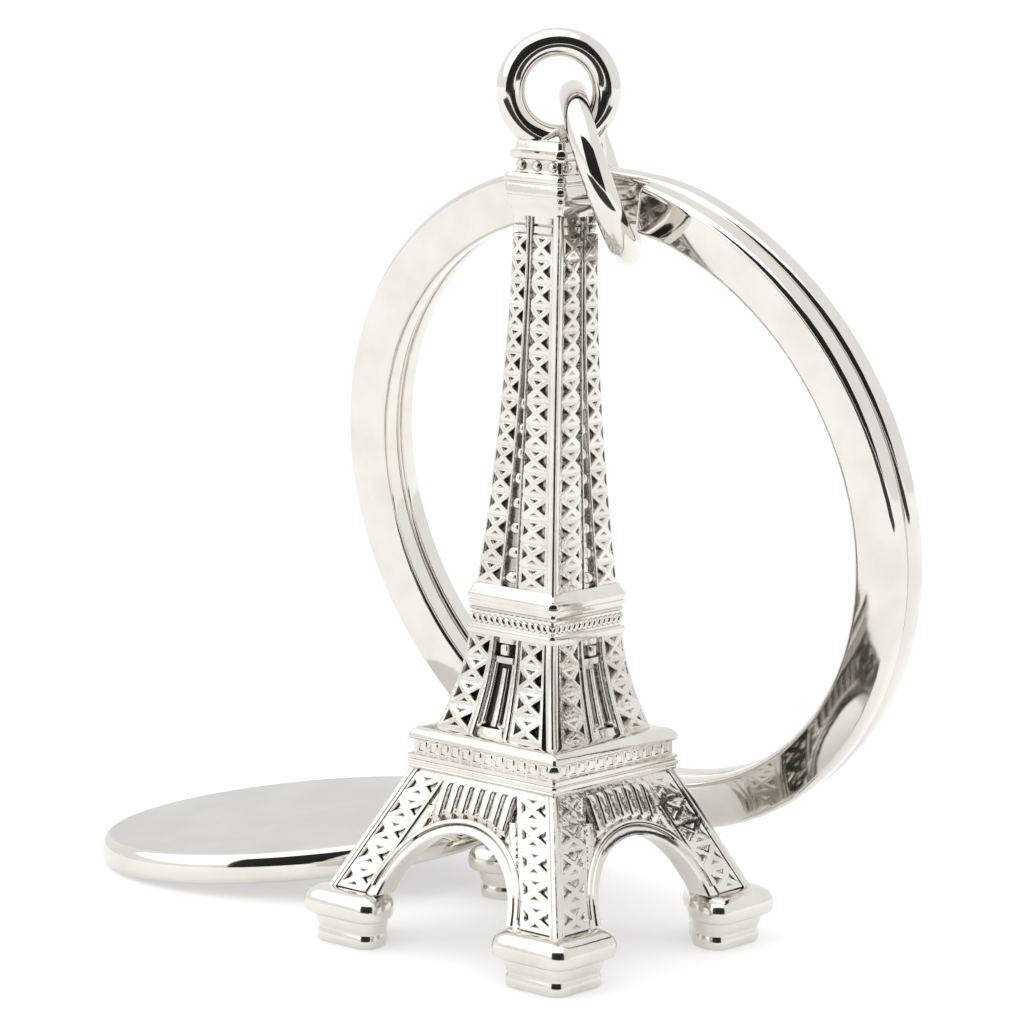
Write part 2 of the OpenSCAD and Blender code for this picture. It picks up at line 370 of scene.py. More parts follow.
ALONG = Vector((1, 1, 0)) / ROOT2          # along the front-right face, from the front corner
OUT = Vector((1, -1, 0)) / ROOT2           # out of that face


def on_face(d, along, z, out=0.0):
    """A point on the front-right face: from its front corner, up, and out of it."""
    return Vector((0, -d, z)) + ALONG * along + OUT * out


# ------------------------------------------------------------ lattice relief

def lattice_mesh(cells, bar, pit, knot=0.05):
    """A panel one unit wide and one a cell high. A cell has two deep side pits and two shallow ones."""
    def build(shape):
        bmesh.ops.create_grid(shape, x_segments=1, y_segments=cells, size=0.5)
        tall = move(0.5, 0, 0) @ Matrix.Diagonal((1, cells, 1, 1)) @ move(0, 0.5, 0)
        bmesh.ops.transform(shape, matrix=tall, verts=shape.verts)
        poked = bmesh.ops.poke(shape, faces=shape.faces[:])
        at_side = [abs(face.calc_center_median().x - 0.5) > 0.25 for face in poked["faces"]]
        bmesh.ops.translate(shape, vec=(0, 0, knot), verts=poked["verts"])
        for side, thickness, deep in ((True, bar * 0.8, pit), (False, bar * 1.2, pit * 0.6)):
            pits = [face for face, place in zip(poked["faces"], at_side) if place == side]
            for step, depth in ((thickness, 0), (0.035, -0.35 * deep), (0.03, -0.65 * deep)):
                bmesh.ops.inset_individual(shape, faces=pits, thickness=step, depth=depth,
                                           use_even_offset=True)
        rim = [e for e in shape.edges if e.is_boundary]
        down = bmesh.ops.extrude_edge_only(shape, edges=rim)["geom"]
        bmesh.ops.translate(shape, vec=(0, 0, -0.45),
                            verts=verts_in(down))
    return tool_shape(build)


def panel(shape, mesh, cells, z0, z1, d_of, left, right, out=0.0, pit=0.24):
    """Lays a lattice panel on the face between two edges given as functions of height."""
    def place(co):
        z = z0 + (z1 - z0) * co.y / cells
        a, b = left(z), right(z)
        return on_face(d_of(z), a + (b - a) * co.x, z, out + co.z)
    # The lattice pits get painted shade with dark oxide, darker the deeper.
    stamp(shape, mesh, place=place, pit=pit)


def strip_mesh(steps, soft=0.3):
    """A unit strip with rounded long edges, for frames and mouldings."""
    def build(shape):
        bmesh.ops.create_grid(shape, x_segments=1, y_segments=steps, size=0.5)
        bmesh.ops.transform(shape, matrix=move(0.5, 0.5, 0), verts=shape.verts)
        rim = [e for e in shape.edges if e.is_boundary]
        down = bmesh.ops.extrude_edge_only(shape, edges=rim)["geom"]
        bmesh.ops.translate(shape, vec=(0, 0, -1), verts=verts_in(down))
        top = [e for e in shape.edges if all(v.co.z > -0.01 for v in e.verts)
               and abs(e.verts[0].co.x - e.verts[1].co.x) < 0.01]
        bmesh.ops.bevel(shape, geom=top, offset=soft, offset_type="OFFSET", segments=2,
                        profile=0.5, affect="EDGES", material=-1, clamp_overlap=True)
    return tool_shape(build)


STRIP = strip_mesh(1)
LONG_STRIP = strip_mesh(14)


def strip(shape, mesh, z0, z1, d_of, left, right, out, thick=0.3):
    """A raised strip on the face, between two edges and two heights."""
    def place(co):
        z = z0 + (z1 - z0) * co.y
        a, b = left(z), right(z)
        return on_face(d_of(z), a + (b - a) * co.x, z, out + co.z * thick)
    stamp(shape, mesh, place=place)


def block_mesh(top, soft=0.12):
    """A unit block with rounded edges whose outer side is a little smaller."""
    def build(shape):
        bmesh.ops.create_cube(shape, size=1)
        bmesh.ops.bevel(shape, geom=shape.edges[:], offset=soft, offset_type="OFFSET", segments=2,
                        profile=0.5, affect="EDGES", material=-1)
        for vert in shape.verts:
            ratio = 1 - (1 - top) * (vert.co.z + 0.5)
            vert.co.x *= ratio
            vert.co.y *= ratio
    return tool_shape(build)


BLOCK = block_mesh(0.6)


def block(shape, middle, along, up, out, size):
    matrix = Matrix((along * size[0], up * size[1], out * size[2])).transposed().to_4x4()
    matrix.translation = middle
    stamp(shape, BLOCK, matrix=matrix)


def corner_rail(shape, z0, z1, d_of, width, steps, soft, out=0.0):
    """A square rail that stands on the front corner and follows the outline."""
    half = width / ROOT2
    made = bmesh.ops.create_circle(shape, cap_ends=True, segments=4, radius=half,
                                   matrix=move(0, -(d_of(z0) + out - half), z0))["verts"]
    bmesh.ops.bevel(shape, geom=made, offset=soft, offset_type="OFFSET", segments=3,
                    profile=0.5, affect="VERTICES", material=-1)
    face = max(shape.faces, key=lambda f: (abs(f.calc_center_median().z - z0) < 1e-4, f.calc_area()))
    for step in range(1, steps + 1):
        z = z0 + (z1 - z0) * step / steps
        face = bmesh.ops.extrude_discrete_faces(shape, faces=[face])["faces"][0]
        previous = z0 + (z1 - z0) * (step - 1) / steps
        bmesh.ops.translate(shape, vec=(0, d_of(previous) - d_of(z), z - previous), verts=face.verts)


def stages(d_of, z0, z1, steps, inset=0.0):
    return [[d_of(z0 + (z1 - z0) * i / steps) - inset, z0 + (z1 - z0) * i / steps] for i in range(steps + 1)]


# --------------------------------------------------------------------- spire

SIDE = 0.1                                 # plain edge at the left and right corners


def face_w(d):
    return d * ROOT2


core = bmesh.new()
square_stage(core, stages(spire_d, UPPER_TOP - 0.1, SPIRE_TOP, 16, 0.34), 0.12)
# The core shows only between the lattice, so a share of painted shade with dark oxide darkens it.
piece("spire_core", core, RELIEF, stands_for=["spire"], grime_and_shade=0.35)

SPIRE_BAYS = 15
bays_top = SPIRE_TOP - 1.0
lattice = lattice_mesh(SPIRE_BAYS, 0.11, 0.32, 0.16)
RAIL = 0.46


def spread(z):
    """0 at the top of the spire, 1 at its foot."""
    return (spire_d(z) - SPIRE_TOP_D) / (SPIRE_D - SPIRE_TOP_D)


def near_left(z):
    return RAIL * 0.92


def near_right(z):
    return face_w(spire_d(z)) * (0.57 - 0.105 * spread(z))


def far_left(z):
    return face_w(spire_d(z)) * (0.645 + 0.02 * spread(z))


def far_right(z):
    return face_w(spire_d(z)) - SIDE


relief = bmesh.new()
panel(relief, lattice, SPIRE_BAYS, UPPER_TOP, bays_top, spire_d, near_left, near_right, -0.06, 0.3)
panel(relief, lattice, SPIRE_BAYS, UPPER_TOP, bays_top, spire_d, far_left, far_right, -0.06, 0.3)
for low, high in ((bays_top + 0.1, bays_top + 0.42), (bays_top + 0.55, SPIRE_TOP)):
    strip(relief, STRIP, low, high, spire_d, near_left, near_right, 0.0, 0.35)
    strip(relief, STRIP, low, high, spire_d, far_left, far_right, 0.0, 0.35)
for left, right in ((lambda z: near_right(z) - 0.06, lambda z: near_right(z) + 0.07),
                    (lambda z: far_left(z) - 0.07, lambda z: far_left(z) + 0.06)):
    strip(relief, LONG_STRIP, UPPER_TOP, SPIRE_TOP, spire_d, left, right, 0.02, 0.4)
knob = tool_shape(lambda made: bmesh.ops.create_uvsphere(made, u_segments=10, v_segments=6, radius=0.5))
for rung in range(8):
    z = UPPER_TOP + 0.45 + rung * 1.22
    a, b = near_right(z) + 0.02, far_left(z) - 0.02
    turned = Matrix((ALONG * (b - a), UP * 0.62, OUT * 0.34)).transposed().to_4x4()
    turned.translation = on_face(spire_d(z), (a + b) / 2, z, -0.2)
    stamp(relief, knob, matrix=turned)
four_ways(relief)
piece("spire_lattice", relief, RELIEF, sharp=50)

rails = bmesh.new()
corner_rail(rails, UPPER_TOP, SPIRE_TOP, spire_d, RAIL, 14, 0.13, 0.07)
front_and_back(rails)
piece("spire_corner_rails", rails, CAST)


# -------------------------------------------------------------- middle stage

core = bmesh.new()
square_stage(core, stages(stage_d, DECK_TOP - 0.1, UPPER_Z, 8, 0.42), 0.12)
# The core shows only in the slots and gaps, so it is painted dark nearly all over: painted shade with some
# dark oxide.
piece("middle_stage_core", core, RELIEF, stands_for=["middle_stage"], grime_and_shade=0.9)

STAGE_BAYS = 4
lattice = lattice_mesh(STAGE_BAYS, 0.1, 0.32, 0.12)


def stage_share(share):
    return lambda z: face_w(stage_d(z)) * share


relief = bmesh.new()
for left, right in ((0.1, 0.375), (0.71, 0.985)):
    panel(relief, lattice, STAGE_BAYS, DECK_TOP, UPPER_Z, stage_d,
          stage_share(left), stage_share(right), -0.06, 0.32)
slot_top = UPPER_Z - 1.25
for mesh, low, high, left, right, out, thick in (
        (LONG_STRIP, DECK_TOP, UPPER_Z, 0.375, 0.425, 0.05, 0.5),
        (LONG_STRIP, DECK_TOP, UPPER_Z, 0.66, 0.715, 0.05, 0.5),
        (LONG_STRIP, DECK_TOP + 0.45, slot_top, 0.425, 0.465, -0.1, 0.4),
        (LONG_STRIP, DECK_TOP + 0.45, slot_top, 0.62, 0.66, -0.1, 0.4),
        (LONG_STRIP, DECK_TOP + 0.5, slot_top - 0.25, 0.495, 0.565, -0.08, 0.4),
        (STRIP, slot_top, slot_top + 0.3, 0.42, 0.665, -0.02, 0.5),
        (STRIP, UPPER_Z - 0.28, UPPER_Z, 0.42, 0.665, -0.02, 0.5),
        (STRIP, DECK_TOP, DECK_TOP + 0.4, 0.42, 0.665, -0.02, 0.5)):
    strip(relief, mesh, low, high, stage_d, stage_share(left), stage_share(right), out, thick)
knob_z = (slot_top + UPPER_Z) / 2 + 0.02
block(relief, on_face(stage_d(knob_z), face_w(stage_d(knob_z)) * 0.545, knob_z, -0.12), ALONG, UP, OUT,
      (0.66, 0.78, 0.44))
for side, tilt in ((0.45, 1), (0.63, -1)):
    z = DECK_TOP + 0.5
    block(relief, on_face(stage_d(z), face_w(stage_d(z)) * side, z, -0.05),
          (ALONG + UP * 0.7 * tilt).normalized(), (UP - ALONG * 0.7 * tilt).normalized(), OUT,
          (0.6, 0.16, 0.3))
four_ways(relief)
piece("middle_stage_lattice", relief, RELIEF, sharp=50)

rails = bmesh.new()
corner_rail(rails, DECK_TOP, UPPER_Z, stage_d, 0.5, 8, 0.13, 0.07)
front_and_back(rails)
piece("middle_stage_corner_rails", rails, CAST)


# ----------------------------------------------------------------- platforms

def bead_row(shape, d, z, count, radius, out, flat=0.8, tall=1.0, lean=0.0):
    """A row of small beads along one face."""
    bead = tool_shape(lambda s: bmesh.ops.create_uvsphere(s, u_segments=10, v_segments=8, radius=radius))
    width = face_w(d)
    for i in range(count):
        along = width * (i + 0.5) / count
        turned = Matrix((ALONG, UP * tall + ALONG * lean, OUT * flat)).transposed().to_4x4()
        turned.translation = on_face(d, along, z, out)
        stamp(shape, bead, matrix=turned)


def corner_dots(shape, places, sides=(-1, 1)):
    """Flat round studs on the front and back corners, one for each [half diagonal, height, radius]."""
    for d, z, radius in places:
        for side in sides:
            flat = move(0, side * (d - 0.3 * radius), z) @ Matrix.Diagonal((1, 0.36, 1, 1))
            bmesh.ops.create_uvsphere(shape, u_segments=20, v_segments=12, radius=radius, matrix=flat)


d, z = UPPER_D, UPPER_Z
deck = bmesh.new()
square_stage(deck, [
    [d - 0.25, z], [d - 0.04, z], [d, z + 0.05], [d, z + 0.3], [d - 0.05, z + 0.37],
    [d - 0.24, z + 0.4], [d - 0.24, z + 1.12], [d - 0.12, z + 1.16], [d - 0.07, z + 1.22],
    [d - 0.09, z + 1.3], [d - 0.2, z + 1.34], [d - 0.2, z + 1.42], [d - 0.04, z + 1.46],
    [d, z + 1.54], [d, z + 1.66], [d - 0.13, z + 1.68], [d - 0.13, z + 1.78], [d, z + 1.8],
    [d, z + 1.97], [d - 0.04, z + 2.05], [d - 0.1, z + 2.08], [d - 0.12, z + 2.14],
    [d - 0.2, z + 2.2], [d - 0.34, UPPER_TOP], [SPIRE_D - 0.1, UPPER_TOP + 0.02]], 0.16)
piece("upper_platform_deck", deck, CAST, stands_for=["upper_platform"])
beads = bmesh.new()
bead_row(beads, d - 0.24, z + 0.76, 14, 0.22, 0.0, 0.7, 1.25, 0.55)
four_ways(beads)
piece("upper_platform_beads", beads, RELIEF)
dots = bmesh.new()
corner_dots(dots, [(d + 0.04, z + 1.8, 0.32), (d - 0.04, z + 1.36, 0.17), (d, z + 0.3, 0.2)])
piece("upper_platform_corner_studs", dots, CAST)

d, z = DECK_D, DECK_Z
deck = bmesh.new()
square_stage(deck, [
    [d - 0.5, z - 0.02], [d - 0.2, z], [d - 0.1, z + 0.05], [d - 0.06, z + 0.14], [d - 0.1, z + 0.2],
    [d - 0.02, z + 0.24], [d, z + 0.3], [d, z + 0.42], [d - 0.06, z + 0.48], [d - 0.17, z + 0.5],
    [d - 0.17, z + 0.56], [d - 0.04, z + 0.6], [d - 0.01, z + 0.66], [d - 0.04, z + 0.74],
    [d - 0.3, z + 0.77], [d - 0.3, DECK_TOP - 0.62], [d - 0.12, DECK_TOP - 0.6],
    [d - 0.03, DECK_TOP - 0.52], [d - 0.05, DECK_TOP - 0.36], [d - 0.2, DECK_TOP - 0.18],
    [d - 0.5, DECK_TOP - 0.04], [d - 0.9, DECK_TOP], [STAGE_D - 0.4, DECK_TOP + 0.01]], 0.18)
piece("lower_platform_deck", deck, CAST, stands_for=["lower_platform"])
windows = bmesh.new()
WINDOWS = 12
mid_z = (z + 0.77 + DECK_TOP - 0.62) / 2
width = face_w(d - 0.3)


def window_mesh():
    """One small window: a rounded frame and a hollow middle."""
    def build(shape):
        bmesh.ops.create_circle(shape, cap_ends=True, segments=4, radius=1 / ROOT2, matrix=turn("Z", 45))
        bmesh.ops.bevel(shape, geom=shape.verts[:], offset=0.2, offset_type="OFFSET", segments=2,
                        profile=0.5, affect="VERTICES", material=-1)
        front = bmesh.ops.extrude_discrete_faces(shape, faces=shape.faces[:])["faces"]
        for thickness, depth in ((0.09, 0.3), (0.08, 0.12), (0.07, 0.0), (0.05, -0.3), (0.06, -0.9)):
            bmesh.ops.inset_individual(shape, faces=front, thickness=thickness, depth=depth,
                                       use_even_offset=True)
    return tool_shape(build)


window = window_mesh()
for i in range(WINDOWS):
    turned = Matrix((ALONG * 0.7, UP * 0.72, OUT * 0.2)).transposed().to_4x4()
    turned.translation = on_face(d - 0.3, 0.35 + (width - 0.7) * (i + 0.5) / WINDOWS, mid_z, 0.03)
    # The hollow of each window gets painted shade with dark oxide, darker the deeper.
    stamp(windows, window, matrix=turned @ move(0, 0, -0.3), pit=0.9)
four_ways(windows)
piece("lower_platform_windows", windows, RELIEF, sharp=50)
dots = bmesh.new()
corner_dots(dots, [(d - 0.06, mid_z + 0.08, 0.36), (d, z + 0.36, 0.17)])
piece("lower_platform_corner_studs", dots, CAST)


# ------------------------------------------------------------ legs and arches

ARCH_R, ARCH_Z, ARCH_WALL = 4.2, 2.1, 1.3


def leg_core_slice(z, inset):
    """Corners of a leg's section at a height, for the leg on the right, as [x, y]."""
    d = leg_d(z) - inset * ROOT2
    half = (LEG_W - 2 * inset) / ROOT2
    return d - half, half


core = bmesh.new()
inset = 0.26
z0, z1 = FOOT_H - 0.2, DECK_Z + 0.1
x0, half0 = leg_core_slice(z0, inset)
x1, half1 = leg_core_slice(z1, inset)
made = bmesh.ops.create_cone(core, cap_ends=True, segments=4, radius1=half0, radius2=half1,
                             depth=z1 - z0, matrix=move(0, 0, (z0 + z1) / 2))["verts"]
for vert in made:
    vert.co.x += x0 if vert.co.z < (z0 + z1) / 2 else x1
inner = bmesh.ops.bisect_plane(core, geom=core.verts[:] + core.edges[:] + core.faces[:],
                               plane_co=(x0 - LEG_CUT, 0, z0), plane_no=(-(z1 - z0), 0, x1 - x0),
                               clear_outer=True)
bmesh.ops.edgeloop_fill(core, edges=[g for g in inner["geom_cut"] if isinstance(g, bmesh.types.BMEdge)])
bmesh.ops.bevel(core, geom=[e for e in core.edges if abs(e.verts[0].co.z - e.verts[1].co.z) > 1],
                offset=0.12, offset_type="OFFSET", segments=3, profile=0.5, affect="EDGES", material=-1)
all_round(core)
piece("leg_posts", core, CAST, stands_for=["leg_front", "leg_right", "leg_back", "leg_left"])

LEG_BAYS = 5
lattice = lattice_mesh(LEG_BAYS, 0.105, 0.28, 0.08)
panel_top = DECK_Z - 0.15
relief = bmesh.new()
for edge in (0, 1):
    def from_corner(distance, edge=edge):
        return lambda z: face_w(leg_d(z)) - distance if edge else distance
    inner_edge, outer_edge = from_corner(2.4), from_corner(0.42)
    left, right = (inner_edge, outer_edge) if edge else (outer_edge, inner_edge)
    panel(relief, lattice, LEG_BAYS, FOOT_H + 0.05, panel_top, leg_d, left, right, -0.05, 0.26)
    a, b = (from_corner(0.5), from_corner(0.0)) if edge else (from_corner(0.0), from_corner(0.5))
    strip(relief, LONG_STRIP, FOOT_H, DECK_Z, leg_d, a, b, 0.0, 0.5)
    a, b = (from_corner(3.1), from_corner(2.44)) if edge else (from_corner(2.44), from_corner(3.1))
    strip(relief, LONG_STRIP, FOOT_H, DECK_Z - 1.5, leg_d, a, b, -0.04, 0.5)
four_ways(relief)
piece("leg_lattice", relief, RELIEF, sharp=50)

rails = bmesh.new()
corner_rail(rails, FOOT_H, DECK_Z, leg_d, 0.42, 2, 0.12, 0.06)
all_round(rails)
piece("leg_corner_rails", rails, CAST)

# The wall over each arch, its two raised bands and its pickets.
walls = bmesh.new()
ARCH_STEPS = 24


def arch_place(along, z, out):
    return on_face(leg_d(z), face_w(leg_d(z)) / 2 + along, z, out)


def arch_wall(co):
    """Bends a unit block over the arch: X along the arch, Y from it to the platform, Z in."""
    angle = math.radians(30 + 120 * (1 - co.x))
    low = Vector((ARCH_R * math.cos(angle), ARCH_Z + ARCH_R * math.sin(angle)))
    high_z = DECK_Z + 0.05
    half = face_w(leg_d(high_z)) / 2 - LEG_W + 0.35
    high = Vector(((co.x * 2 - 1) * half, high_z))
    at = low.lerp(high, co.y)
    return arch_place(at.x, at.y, -0.26 - co.z * (ARCH_WALL - 0.3))


def wall_block(shape):
    bmesh.ops.create_grid(shape, x_segments=ARCH_STEPS, y_segments=6, size=0.5)
    bmesh.ops.transform(shape, matrix=move(0.5, 0.5, 0), verts=shape.verts)
    flat = shape.faces[:]
    copy = bmesh.ops.extrude_face_region(shape, geom=flat, use_keep_orig=True)["geom"]
    bmesh.ops.translate(shape, vec=(0, 0, 1), verts=verts_in(copy))


stamp(walls, tool_shape(wall_block), place=arch_wall)
four_ways(walls)
# The recessed walls get a share of painted shade with dark oxide.
piece("arch_walls", walls, RELIEF, grime_and_shade=0.5,
      stands_for=["arch_front_right", "arch_back_right", "arch_back_left", "arch_front_left"])


def arch_band(shape, r0, r1, out, deep, from_angle, to_angle, steps=36):
    """A raised band that follows the arch between two radii."""
    mesh = strip_mesh(steps, 0.25)

    def place(co):
        angle = math.radians(from_angle + (to_angle - from_angle) * co.y)
        radius = r0 + (r1 - r0) * co.x
        return arch_place(radius * math.cos(angle), ARCH_Z + radius * math.sin(angle), out + deep * co.z)
    stamp(shape, mesh, place=place)


bands = bmesh.new()
arch_band(bands, ARCH_R - 0.03, ARCH_R + 0.48, 0.04, 1.25, 10, 170)
arch_band(bands, ARCH_R + 0.52, ARCH_R + 0.76, 0.08, 0.5, 14, 166)
four_ways(bands)
piece("arch_bands", bands, CAST)

pickets = bmesh.new()
top_z = DECK_Z - 0.02
PICKETS = 7
inner = face_w(leg_d(top_z)) / 2 - 2.5
for i in range(PICKETS):
    pitch = 2 * inner * 1.12 / PICKETS
    along = pitch * (i + 0.5 - PICKETS / 2)
    foot_z = ARCH_Z + math.sqrt(max(0.1, (ARCH_R + 0.7) ** 2 - along ** 2))
    if top_z - foot_z < 0.3:
        continue
    low, high = arch_place(along, foot_z, -0.1), arch_place(along, top_z, -0.1)
    up = (high - low).normalized()
    block(pickets, (low + high) / 2, ALONG, up, OUT, (pitch * 1.02, (high - low).length + 0.3, 0.42))
    bmesh.ops.create_uvsphere(pickets, u_segments=10, v_segments=6, radius=0.17,
                              matrix=move(*arch_place(along + pitch / 2, foot_z + 0.3, -0.1)))
strip(pickets, LONG_STRIP, DECK_Z - 0.3, DECK_Z, leg_d,
      lambda z: 0.5, lambda z: face_w(leg_d(z)) - 0.5, 0.02, 0.4)
four_ways(pickets)
piece("arch_pickets", pickets, RELIEF, sharp=50)


# ---------------------------------------------------------------------- feet

FOOT_MID, FOOT_D, FOOT_CUT = LEG_D - 1.85, foot_high.y + 0.37, 1.4


def pillow(shape, size, cut, outline, corner):
    """A cushion-shaped tier with rounded corners, out along +X."""
    share, bottom = outline[0]
    made = bmesh.ops.create_circle(shape, cap_ends=True, segments=4, radius=size * share,
                                   matrix=move(FOOT_MID, 0, bottom))["verts"]
    faces = list({f for v in made for f in v.link_faces})
    edges = list({e for v in made for e in v.link_edges})
    bmesh.ops.bisect_plane(shape, geom=made + edges + faces, plane_co=(FOOT_MID - cut * share, 0, 0),
                           plane_no=(-1, 0, 0), clear_outer=True)
    rim = [v for v in shape.verts if abs(v.co.z - bottom) < 1e-5]
    bmesh.ops.bevel(shape, geom=rim, offset=corner * share, offset_type="OFFSET", segments=5,
                    profile=0.5, affect="VERTICES", material=-1)
    face = max((f for f in shape.faces if abs(f.calc_center_median().z - bottom) < 1e-5),
               key=lambda f: f.calc_area())
    bmesh.ops.duplicate(shape, geom=[face])
    grow(shape, face, outline, (FOOT_MID, 0))


feet = bmesh.new()
tier = 0.56 * FOOT_H
pillow(feet, FOOT_D - 0.8, FOOT_CUT - 0.3, [
    [0.9, 0.0], [0.96, 0.03], [0.99, 0.12], [1.0, 0.28], [1.0, 0.55], [0.97, 0.66], [0.96, 0.76],
    [0.99, 0.86], [1.02, 1.0], [1.04, 1.25], [1.06, tier], [1.06, tier + 0.2]], 0.7)
pillow(feet, FOOT_D, FOOT_CUT, [
    [0.82, tier - 0.16], [0.9, tier - 0.12], [0.96, tier - 0.02], [0.99, tier + 0.14], [1.0, tier + 0.34],
    [1.0, tier + 0.5], [0.985, tier + 0.7], [0.95, tier + 0.88], [0.9, tier + 1.02], [0.84, tier + 1.12],
    [0.76, FOOT_H - 0.02], [0.7, FOOT_H]], 0.9)
all_round(feet)
piece("feet", feet, CAST, stands_for=["foot_front", "foot_right", "foot_back", "foot_left"], sharp=60)


# --------------------------------------------------------------- top gallery

d, z = GALLERY_D, SPIRE_TOP
cap = bmesh.new()
square_stage(cap, [
    [SPIRE_TOP_D - 0.1, z - 0.15], [SPIRE_TOP_D + 0.02, z - 0.1], [SPIRE_TOP_D + 0.06, z + 0.05],
    [SPIRE_TOP_D + 0.14, z + 0.3], [d - 0.14, z + 0.46], [d - 0.06, z + 0.56], [d - 0.02, z + 0.68],
    [d, z + 0.78], [d - 0.1, z + 0.8], [d - 0.1, z + 0.9], [d, z + 0.94], [d, z + 1.4],
    [d - 0.05, z + 1.47], [d - 0.13, z + 1.5], [d - 0.13, z + 1.55], [d - 0.03, z + 1.6],
    [d, z + 1.68], [d - 0.03, z + 1.88], [d - 0.15, z + 1.98], [d - 0.55, z + 2.02],
    [d - 0.6, z + 2.1], [d - 0.6, z + 2.62], [d - 0.4, z + 2.66], [d - 0.25, z + 2.72],
    [d - 0.2, z + 2.8], [d - 0.22, z + 2.98], [d - 0.34, z + 3.06], [d - 0.5, z + 3.1],
    [d - 0.55, z + 3.2], [d - 0.58, z + 3.42],
    [d - 0.66, GALLERY_TOP], [0.6, GALLERY_TOP + 0.02]], 0.3, 5)
piece("gallery", cap, CAST, stands_for=["top_gallery"])
beads = bmesh.new()
bead_row(beads, d - 0.58, z + 2.34, 3, 0.3, 0.0, 0.6, 0.95)
four_ways(beads)
piece("gallery_beads", beads, RELIEF)
dots = bmesh.new()
corner_dots(dots, [(d - 0.2, z + 2.92, 0.32), (d - 0.04, z + 1.12, 0.26), (d - 0.06, z + 0.72, 0.16)], (-1,))
piece("gallery_corner_studs", dots, CAST)


# ----------------------------------------------------------------- the rings

joint = {j["name"]: j for j in frame["joints"]}
mount = {m["name"]: m for m in frame["record"]["mounts"]}

EYE_R, EYE_WIRE = 2.35, 1.44
eye_at = Vector(mount["charm_eye"]["pos_m"]) / MM
loop = bmesh.new()
ring(loop, eye_at, (0, 1, 0), (0, 0, 1), EYE_R, EYE_WIRE)
piece("hanging_eye_ring", loop, POLISHED, stands_for=["hanging_eye"])
root = bmesh.new()
bmesh.ops.create_cone(root, cap_ends=True, segments=32, radius1=1.28, radius2=0.5, depth=0.62,
                      matrix=move(0, 0, GALLERY_TOP + 0.29))
bmesh.ops.bevel(root, geom=[e for e in root.edges if abs(e.verts[0].co.z - e.verts[1].co.z) < 0.1],
                offset=0.1, offset_type="OFFSET", segments=3, profile=0.5, affect="EDGES", material=-1)
piece("hanging_eye_root", root, POLISHED)

JUMP_R, JUMP_WIRE = 4.1, 1.45
jump = joint["jump_ring_in_eye"]
jump_at, jump_axis = Vector(jump["pos_m"]) / MM, Vector(jump["axis"])
loop = bmesh.new()
ring(loop, jump_at, jump_axis, (0, 0, 1), JUMP_R, JUMP_WIRE, 128, 32)
piece("jump_ring_wire", loop, POLISHED, "jump_ring_body", stands_for=["jump_ring"])

LINK_R, LINK_WIRE = 3.5, 1.0
link_low, link_high = span("tag_link")
link_at = (link_low + link_high) / 2
link_axis = turn("Z", 2.1) @ turn("Y", -5.4) @ Vector((1, 0, 0))
loop = bmesh.new()
ring(loop, link_at, link_axis, (0, 0, 1), LINK_R, LINK_WIRE, 96, 24)
piece("tag_link_wire", loop, POLISHED, "link_body", stands_for=["tag_link"])

# The split ring: a flat wire with rounded corners, wound twice.
SPLIT_R, SPLIT_W, SPLIT_T, SPLIT_GAP = 16.2, 2.6, 1.22, 0.06
split = joint["split_ring_in_jump_ring"]
out_of_back = Vector(split["axis"]).normalized()
near = -out_of_back                        # out of the near face
ring_up = near.cross(UP.cross(near)).normalized()
right = ring_up.cross(near)
face_mid = Vector(split["pos_m"]) / MM + near * (SPLIT_T + SPLIT_GAP / 2)


def ring_point(angle, out=0.0, layer=0.0):
    """Angles run from the ring's left over its top; layer is along the near face's normal."""
    a = math.radians(angle)
    return face_mid + (ring_up * math.sin(a) - right * math.cos(a)) * (SPLIT_R + out) + near * layer


def wound_wire():
    shape = bmesh.new()
    start = 104
    made = bmesh.ops.create_circle(shape, cap_ends=True, segments=4, radius=1, matrix=turn("Z", 45))["verts"]
    bmesh.ops.scale(shape, vec=(SPLIT_W / ROOT2, SPLIT_T / ROOT2, 1), verts=made)
    bmesh.ops.bevel(shape, geom=made, offset=0.36, offset_type="OFFSET", segments=6, profile=0.5,
                    affect="VERTICES", material=-1)
    outward = (ring_point(start, 1) - ring_point(start)).normalized()
    tangent = (ring_point(start + 1) - ring_point(start - 1)).normalized()
    matrix = Matrix((outward, near, tangent)).transposed().to_4x4()
    matrix.translation = ring_point(start, 0, -SPLIT_T / 2)
    bmesh.ops.transform(shape, matrix=matrix, verts=shape.verts)
    face = shape.faces[:][0]
    cap = bmesh.ops.duplicate(shape, geom=[face])
    first = [g for g in cap["geom"] if isinstance(g, bmesh.types.BMFace)][0]
    # The wire starts with a rounded end.
    for push, shrink in ((0.12, 0.97), (0.1, 0.93), (0.07, 0.86), (0.04, 0.75)):
        first = bmesh.ops.extrude_discrete_faces(shape, faces=[first])["faces"][0]
        bmesh.ops.translate(shape, vec=-tangent * push, verts=first.verts)
        middle = first.calc_center_median()
        bmesh.ops.scale(shape, vec=(shrink,) * 3, verts=first.verts, space=Matrix.Translation(-middle))
    back = -(SPLIT_T + SPLIT_GAP)
    # Each stretch of the wire is [degrees, steps, rise]: one turn, the step to the next layer, and one turn.
    turns = [(340, 85, 0.0)]
    climb_steps = 10
    climb = [0.5 - 0.5 * math.cos(math.pi * i / climb_steps) for i in range(climb_steps + 1)]
    for i in range(climb_steps):
        turns.append((2.8, 1, back * (climb[i + 1] - climb[i])))
    turns.append((312, 78, 0.0))
    geom = list(face.verts) + list(face.edges) + [face]
    for sweep, steps, rise in turns:
        result = bmesh.ops.spin(shape, geom=geom, cent=face_mid, axis=near, dvec=near * (rise / steps),
                                angle=math.radians(-sweep), steps=steps, use_merge=False)
        geom = result["geom_last"]
    return shape


